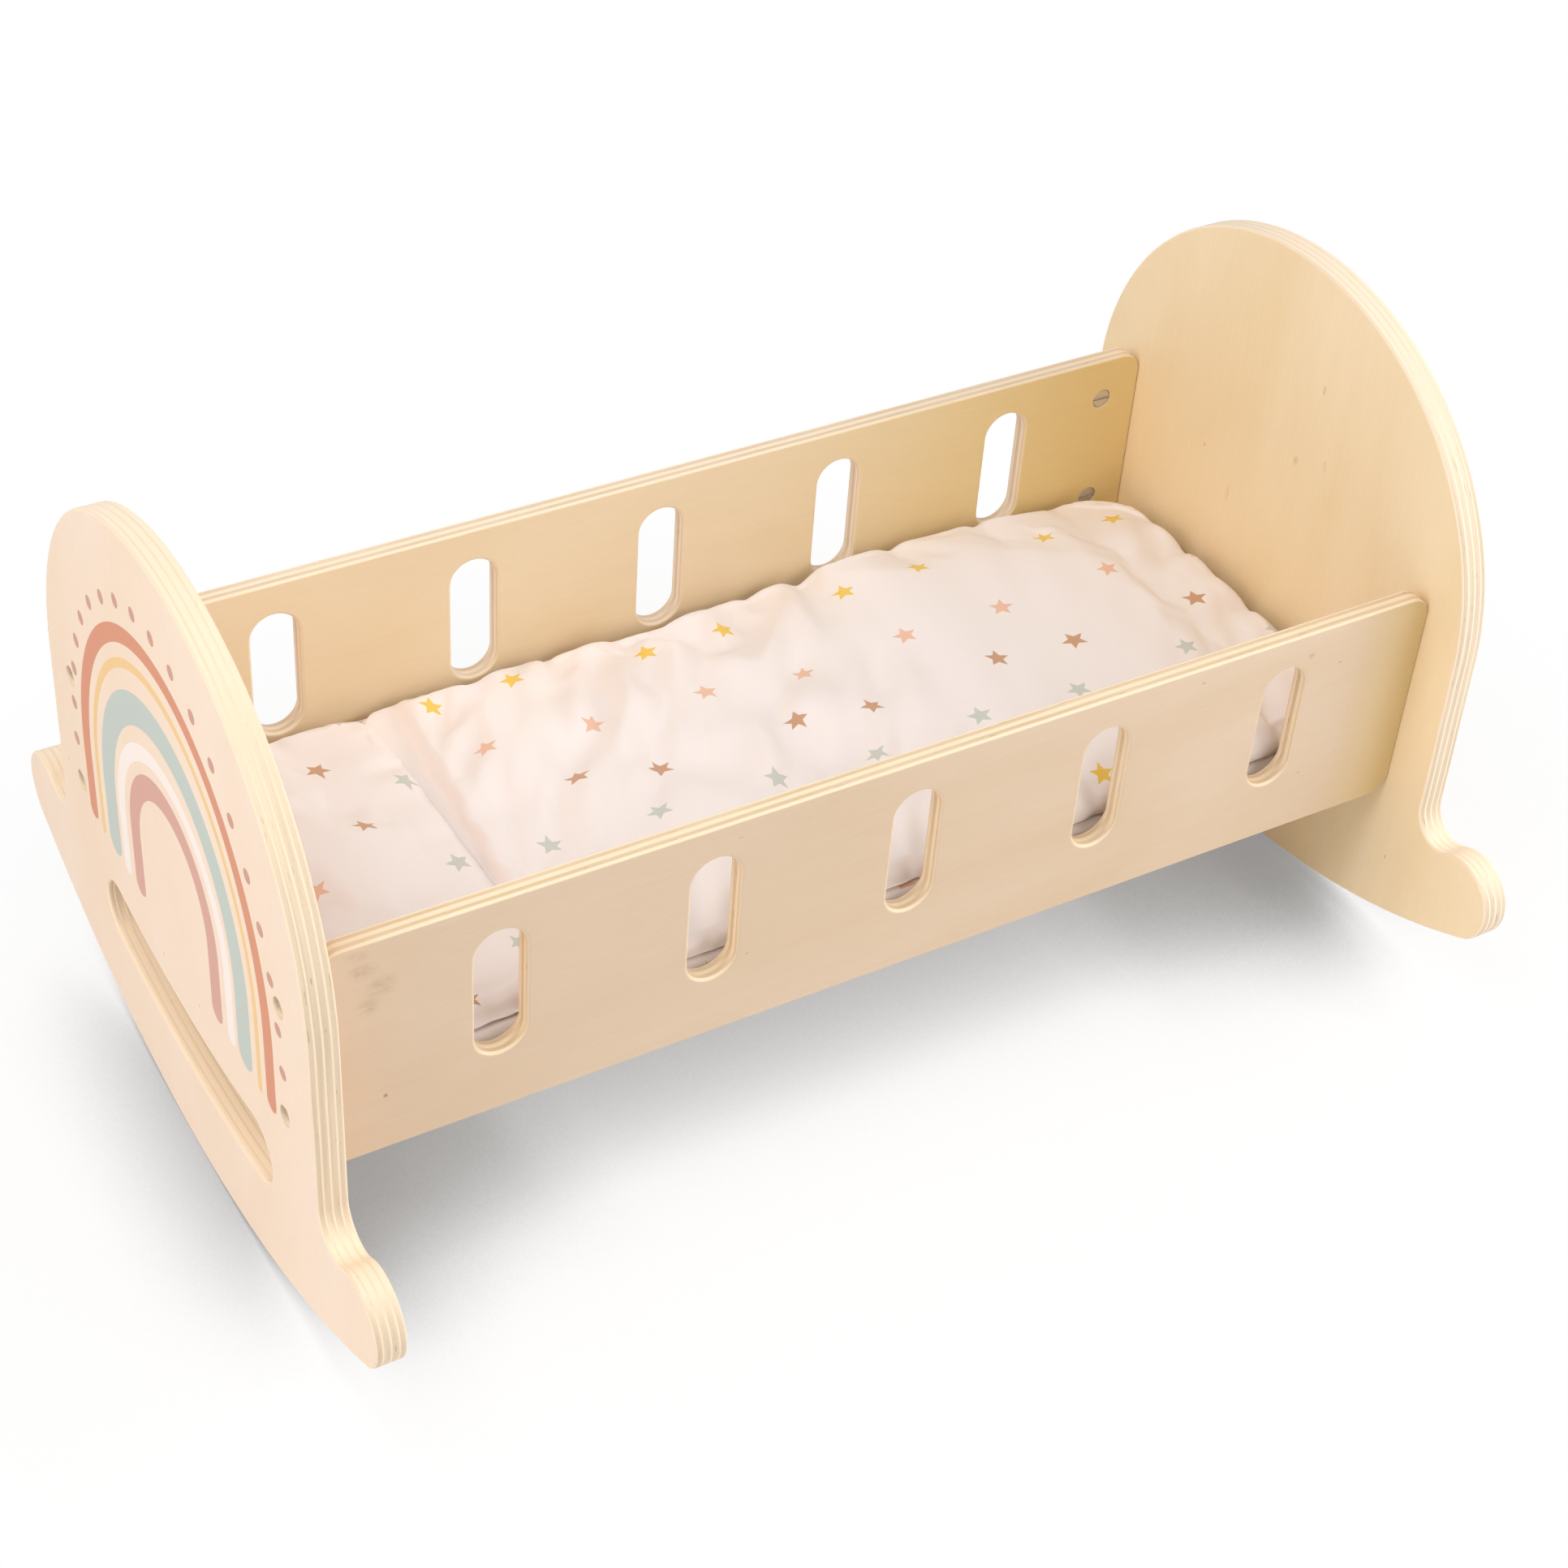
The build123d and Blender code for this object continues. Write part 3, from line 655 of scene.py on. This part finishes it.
def sewPad(look):
    # two sheets of cloth sewn together along their outline, in millimetres until the end
    lowX, highX = look["along"]
    lowY, highY = look["across"]
    middleX, middleY = (lowX + highX) / 2, (lowY + highY) / 2
    headRadius, footRadius = look["cornerRadii"]
    bm = bmesh.new()
    cloth = bm.loops.layers.uv.new("cloth")
    groups = bm.verts.layers.deform.verify()
    bmesh.ops.create_grid(bm, x_segments=round((highX - lowX) / look["meshStep"]),
                          y_segments=round((highY - lowY) / look["meshStep"]), size=0.5)
    for vert in bm.verts:   # the rows stand closer near the seam
        shareX, shareY = vert.co.x + 0.5, vert.co.y + 0.5
        shareX -= look["crowding"] * math.sin(2 * math.pi * shareX) * 0.5
        shareY -= look["crowding"] * math.sin(2 * math.pi * shareY)
        vert.co.x = lowX + shareX * (highX - lowX)
        vert.co.y = lowY + shareY * (highY - lowY)
    for face in bm.faces:
        for loop in face.loops:
            x, y = loop.vert.co.x, loop.vert.co.y
            u, v = (y, -x) if look["clothTurned"] else (x, y)
            loop[cloth].uv = ((u + look["clothShift"][0] + between(look["clothStretch"], u)) * mm,
                              (v + look["clothShift"][1] + between(look["clothDrift"], u)) * mm)
    upper = list(bm.verts)
    copy = bmesh.ops.duplicate(bm, geom=bm.faces[:] + bm.edges[:] + bm.verts[:])
    for face in copy["geom"]:   # the lower sheet is another cut, so the prints don't meet
        if isinstance(face, bmesh.types.BMFace):
            for loop in face.loops:
                loop[cloth].uv += Vector(look["lowerCut"]) * mm
    for vert in upper:
        twin = copy["vert_map"][vert]
        x, y = vert.co.x, vert.co.y
        fromX, fromY = min(x - lowX, highX - x), min(y - lowY, highY - y)
        depth = min(fromX, fromY)
        rollX = look["roll"]["head" if x < middleX else "foot"]
        rollY = look["roll"]["right" if y < middleY else "left"]
        radius = headRadius if x < middleX else footRadius
        if fromX < radius and fromY < radius:   # the corner is rounded off
            a, b = 1 - fromX / radius, 1 - fromY / radius
            a, b = a * math.sqrt(1 - b * b / 2), b * math.sqrt(1 - a * a / 2)
            fromX, fromY = radius - radius * a, radius - radius * b
            depth = radius - radius * math.hypot(a, b)
            x = lowX + fromX if x < middleX else highX - fromX
            y = lowY + fromY if y < middleY else highY - fromY
        if depth < 1e-3:   # else rounding leaves a slit in the seam
            depth = 0.0
        width = (rollX * (fromY + 1) + rollY * (fromX + 1)) / (fromX + fromY + 2)
        roll = min(depth / width, 1.0)
        fullness = math.sqrt(1 - (1 - roll) ** 2)
        share = (y - lowY) / (highY - lowY)
        slant = look["slant"] * share
        lift = between(look["seamLift"], x - slant)
        top = between(look["top"], x - slant) * between(
            [(0.0, look["nearEdge"]), (0.25, 1.0), (0.72, 1.0), (1.0, between(look["farEdge"], x))],
            share)
        pinch = tuck = 0.0
        for side, centre, push, spread in look["pinches"]:
            inward = {"left": highY - y, "right": y - lowY, "foot": highX - x,
                      "head": x - lowX}[side]
            aside = (y if side in ("foot", "head") else x) - centre
            there = math.exp(-(aside / spread) ** 2)
            pinch += push * there * math.exp(-inward / look["pinchReach"])
            tuck += 0.5 * push * there * math.exp(-(inward / tuckFade) ** 2)
        turn = math.radians(look["foldTurn"])
        across, along = (x * math.cos(turn) + y * math.sin(turn),
                         y * math.cos(turn) - x * math.sin(turn))
        folds = noise.noise(Vector((across / look["foldPitch"], along / look["foldLength"],
                                    look["seed"])))
        lumps = noise.noise(Vector((x / lumpLength, y / lumpWidth, look["seed"] + 5.0)))
        top += ((look["foldHeight"] * folds + look["lumpHeight"] * lumps)
                * between(look["foldShare"], x) * roll)
        ruffle = look["ruffle"] * math.exp(-depth / ruffleFade)
        top += ruffle * noise.noise(Vector((x / ruffleWave, y / ruffleWave, look["seed"] + 9.0)))
        top = max(top - pinch - creaseDepth(look, x, y) * roll, lift + 0.4)
        reachX, reachY = highX - middleX, highY - middleY   # only the rim is tucked in
        inX = (middleX - x) / reachX * tuck * (abs(x - middleX) > reachX - tuckedRim)
        inY = (middleY - y) / reachY * tuck * (abs(y - middleY) > reachY - tuckedRim)
        out = look["sideSwell"] * math.sin(math.pi * min(roll * 1.6, 1.0))
        wave = ruffle * noise.noise(Vector((x / seamWave, y / seamWave, look["seed"] + 3.0)))
        inX -= wave * (x > middleX) * (fromX <= fromY)
        inY -= wave * (y > middleY) * (fromY < fromX)
        vert.co = (x + inX, y + inY, look["base"] + lift + (top - lift) * fullness)
        twin.co = (x + inX + math.copysign(out * (fromX <= fromY), x - middleX),
                   y + inY + math.copysign((depth * 0.9 * (roll < 0.7) + out) * (fromY < fromX),
                                           y - middleY),
                   look["base"] + lift * (1 - fullness))
        if depth < 1e-4:
            vert[groups][1] = twin[groups][1] = 1.0
        elif between(look["top"], x - slant) < hemThickness:   # it lies flat
            vert[groups][0] = twin[groups][0] = 1.0
        elif depth > look["looseRim"]:   # the underside rests on what lies below
            twin[groups][0] = 1.0
    bmesh.ops.remove_doubles(bm, verts=bm.verts[:], dist=1e-4)
    bmesh.ops.recalc_face_normals(bm, faces=bm.faces[:])
    bmesh.ops.scale(bm, vec=(mm, mm, mm), verts=bm.verts[:])
    for face in bm.faces:
        face.smooth = True
    mesh = bpy.data.meshes.new(look["name"])
    bm.to_mesh(mesh)
    bm.free()
    piece = bpy.data.objects.new(look["name"], mesh)
    piece.vertex_groups.new(name="resting")
    piece.vertex_groups.new(name="seam")
    bpy.context.collection.objects.link(piece)
    return piece


def fillPad(piece, look):
    # the filling pushes the cloth out while the gathered seam pulls it in
    before = [v.co.copy() for v in piece.data.vertices]
    filling = piece.modifiers.new("filling", "CLOTH")
    settings = filling.settings
    settings.quality = 6
    settings.mass = 0.15
    settings.tension_stiffness = settings.compression_stiffness = look["stiffness"]
    settings.bending_stiffness = look["bending"]
    settings.use_pressure = True
    settings.uniform_pressure_force = look["pressure"]
    settings.vertex_group_mass = "resting"
    settings.vertex_group_shrink = "seam"
    settings.shrink_min, settings.shrink_max = look["slack"], look["gather"]
    settings.effector_weights.gravity = 0
    filling.point_cache.frame_start, filling.point_cache.frame_end = 1, look["frames"]
    for step in range(1, look["frames"] + 1):
        bpy.context.scene.frame_set(step)
    settled = piece.evaluated_get(bpy.context.evaluated_depsgraph_get())
    after = [v.co.copy() for v in settled.data.vertices]
    piece.modifiers.remove(filling)
    bpy.context.scene.frame_set(1)
    moves = [(new - old).length / mm for new, old in zip(after, before)]
    print(look["name"], "filled out by up to", round(max(moves), 1), "mm, mean",
          round(sum(moves) / len(moves), 2), "mm")
    for vert, old, new in zip(piece.data.vertices, before, after):
        move = new - old
        vert.co = old + move * min(1.0, look["cap"] * mm / max(move.length, 1e-9))
        vert.co.z = max(vert.co.z, look["base"] * mm)
    finer = piece.modifiers.new("finer", "SUBSURF")
    finer.levels = finer.render_levels = 1


# the three pads, in mm; left is the far side and right the near one
quilt = {
    "name": "starQuilt",
    "along": (-141.5, 234.5),
    "across": (-92.0, 92.3),
    "cornerRadii": (12.0, 26.0),    # at the head end and at the foot end
    "meshStep": 2.5,
    "crowding": 0.06,
    "base": 105.7,           # the height of what it rests on
    "seamLift": [(-138, 0.8), (30, 0.8), (90, 5.0), (234, 5.0)],
    "roll": {"head": 11.0, "foot": 7.0, "left": 6.0, "right": 9.0},     # from seam to full height
    "looseRim": 4.0,         # how far in from the seam the underside is free
    "sideSwell": 0.0,
    "slant": 15.0,           # the folded edge runs a little askew
    "top": [(-160, 1.0), (-141, 1.2), (-139.5, 2.0), (-136.5, 9.6), (-128, 7.8), (-60, 7.4),
            (0, 8.0), (36, 10.0), (62, 12.8), (86, 16.8), (140, 17.0), (190, 15.5), (234, 13.0)],
    "nearEdge": 0.8,
    "farEdge": [(-120, 0.5), (0, 0.5), (40, 0.66), (68, 0.85), (90, 0.9), (150, 0.84),
                (180, 0.7), (206, 0.5), (232, 0.35)],
    # side, place along it, depth, width
    "pinches": [("left", -89.6, 3.0, 4), ("left", -56, 3.0, 4),
                ("left", -23, 2.8, 4), ("left", -3, 3.8, 5), ("left", 40, 2.6, 4),
                ("left", 65, 4.5, 5), ("left", 110, 2.6, 4), ("left", 154, 2.8, 4),
                ("left", 198, 2.2, 4),
                ("right", -100, 2.5, 4), ("right", -61, 2.0, 4), ("right", -28, 2.5, 5),
                ("right", 12, 2.0, 4), ("right", 52, 2.5, 5), ("right", 96, 2.0, 4),
                ("right", 141, 2.5, 4), ("right", 188, 2.0, 4),
                ("foot", 62, 2.0, 4), ("foot", 36, 4.5, 4), ("foot", 12, 1.5, 4),
                ("foot", -11, 4.2, 4), ("foot", -50, 2.0, 4)],
    "pinchReach": 11.0,
    # start, end, depth, width
    "creases": [(-89, 88, -78, 58, 2.6, 6), (-56, 88, -62, 50, 3.0, 6), (-23, 86, -34, 46, 3.0, 7),
                (-3, 90, 20, 40, 6.0, 6), (10, 84, 2, 40, 2.6, 5), (40, 88, 32, 46, 3.0, 7),
                (66, 88, 56, 40, 3.4, 8), (24, 34, 52, 0, 2.2, 9), (-70, 30, -90, -10, 2.6, 9),
                (-30, 0, -10, -40, 2.4, 9), (110, 86, 104, 60, 1.6, 6), (176, 66, 172, 74, 1.2, 3),
                (230, 36, 196, 28, 3.0, 6), (230, -11, 200, -24, 3.2, 7),
                (60, -84, 74, -44, 2.0, 7), (141, -86, 134, -56, 2.0, 6)],
    "foldPitch": 13.0,
    "foldLength": 32.0,
    "foldTurn": -28.0,
    "foldHeight": 6.5,
    "foldShare": [(-126, 0.0), (-112, 1.0), (44, 1.0), (84, 0.14), (180, 0.12), (220, 0.3)],
    "lumpHeight": 1.0,
    "ruffle": 0.5,
    "seed": 2.0,
    "clothTurned": False,
    "clothShift": (0.0, 0.0),
    "lowerCut": (48.0, 61.0),
    "clothStretch": [(-140, -0.7), (-120, 1.0), (-60, 1.8), (0, 1.8), (60, 7.6), (120, 9.6),
                     (180, 2.0), (230, -3.4)],
    "clothDrift": [(-140, -12.0), (-120, -5.5), (-60, -2.4), (0, 2.5), (60, 9.5), (120, 14.0),
                   (160, 12.0), (200, 7.5)],
    "stiffness": 12.0,
    "bending": 0.3,
    "pressure": 0.6,
    "slack": -0.02,
    "gather": 0.05,
    "frames": 18,
    "cap": 2.5,
}
pillow = {
    "name": "starPillow",
    "along": (-234.5, -136.0),
    "across": (-90.5, 91.5),
    "cornerRadii": (7.0, 17.0),
    "meshStep": 2.2,
    "crowding": 0.05,
    "base": 105.7,
    "seamLift": [(0, 5.0)],
    "roll": {"head": 12.0, "foot": 7.5, "left": 8.0, "right": 12.0},
    "looseRim": 5.0,
    "sideSwell": 0.0,
    "slant": 0.0,
    "top": [(-235, 11.0), (-222, 13.0), (-160, 13.0), (-138, 11.5)],
    "nearEdge": 0.85,
    "farEdge": [(0, 0.75)],
    "pinches": [("left", -178, 2.0, 4), ("left", -205, 2.4, 5), ("right", -165, 2.0, 4),
                ("right", -210, 2.0, 5), ("foot", 52, 2.2, 4), ("foot", 28, 1.8, 4),
                ("foot", 2, 1.4, 5), ("foot", -36, 2.2, 4), ("head", 40, 1.8, 5),
                ("head", -10, 1.8, 5), ("head", -55, 1.8, 5)],
    "pinchReach": 8.0,
    "creases": [(-178, 86, -172, 60, 1.6, 5), (-142, 52, -168, 42, 1.8, 5),
                (-142, 2, -160, 2, 1.2, 5),
                (-184, -83, -144, -79, 2.2, 3.0), (-200, -76, -156, -72, 1.6, 3.5)],
    "foldPitch": 26.0,
    "foldLength": 38.0,
    "foldTurn": 20.0,
    "foldHeight": 1.5,
    "foldShare": [(0, 1.0)],
    "lumpHeight": 0.4,
    "ruffle": 1.5,
    "seed": 7.0,
    "clothTurned": True,
    "clothShift": (0.0, -169.5),
    "lowerCut": (48.0, 61.0),
    "clothStretch": [(-9, 2.8), (16, 0.2), (44, -5.8), (59, -9.1), (86, -4.7)],
    "clothDrift": [(-10, 2.0), (16, 3.8), (40, 2.5), (59, -0.6), (86, -1.5)],
    "stiffness": 12.0,
    "bending": 0.3,
    "pressure": 1.6,
    "slack": -0.02,
    "gather": 0.1,
    "frames": 18,
    "cap": 4.0,
}
mattress = {
    "name": "starMattress",
    "along": (-235.0, 235.0),
    "across": (-91.8, 92.3),
    "cornerRadii": (14.0, 14.0),
    "meshStep": 4.6,
    "crowding": 0.11,
    "base": 98.35,
    "seamLift": [(0, 6.3)],
    "roll": {"head": 6.0, "foot": 6.0, "left": 6.0, "right": 6.0},
    "looseRim": 6.0,
    "sideSwell": 3.4,
    "slant": 0.0,
    "top": [(-236, 6.9), (236, 6.9)],
    "nearEdge": 1.0,
    "farEdge": [(0, 1.0)],
    "pinches": [],
    "pinchReach": 9.0,
    "creases": [],
    "foldPitch": 60.0,
    "foldLength": 60.0,
    "foldTurn": 0.0,
    "foldHeight": 0.0,
    "foldShare": [(0, 1.0)],
    "lumpHeight": 0.0,
    "ruffle": 0.0,
    "seed": 4.0,
    "clothTurned": False,
    "clothShift": (-15.6, 27.0),
    "lowerCut": (48.0, 61.0),
    "clothStretch": [(0, 0.0)],
    "clothDrift": [(0, 0.0)],
    "stiffness": 15.0,
    "bending": 0.5,
    "pressure": 0.3,
    "slack": 0.0,
    "gather": 0.03,
    "frames": 10,
    "cap": 0.5,
}
cotton = printedCotton(starPrint)
for look, node, slot, fill in ((mattress, "mattress", "mattress_fabric", 0.6),
                               (quilt, "quilt", "star_fabric", 0.5),
                               (pillow, "pillow", "star_fabric", 0.6)):
    piece = sewPad(look)
    fillPad(piece, look)
    piece.data.materials.append(cotton)
    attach(piece, node)
    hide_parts(node)
    print(look["name"], "sewn and filled")
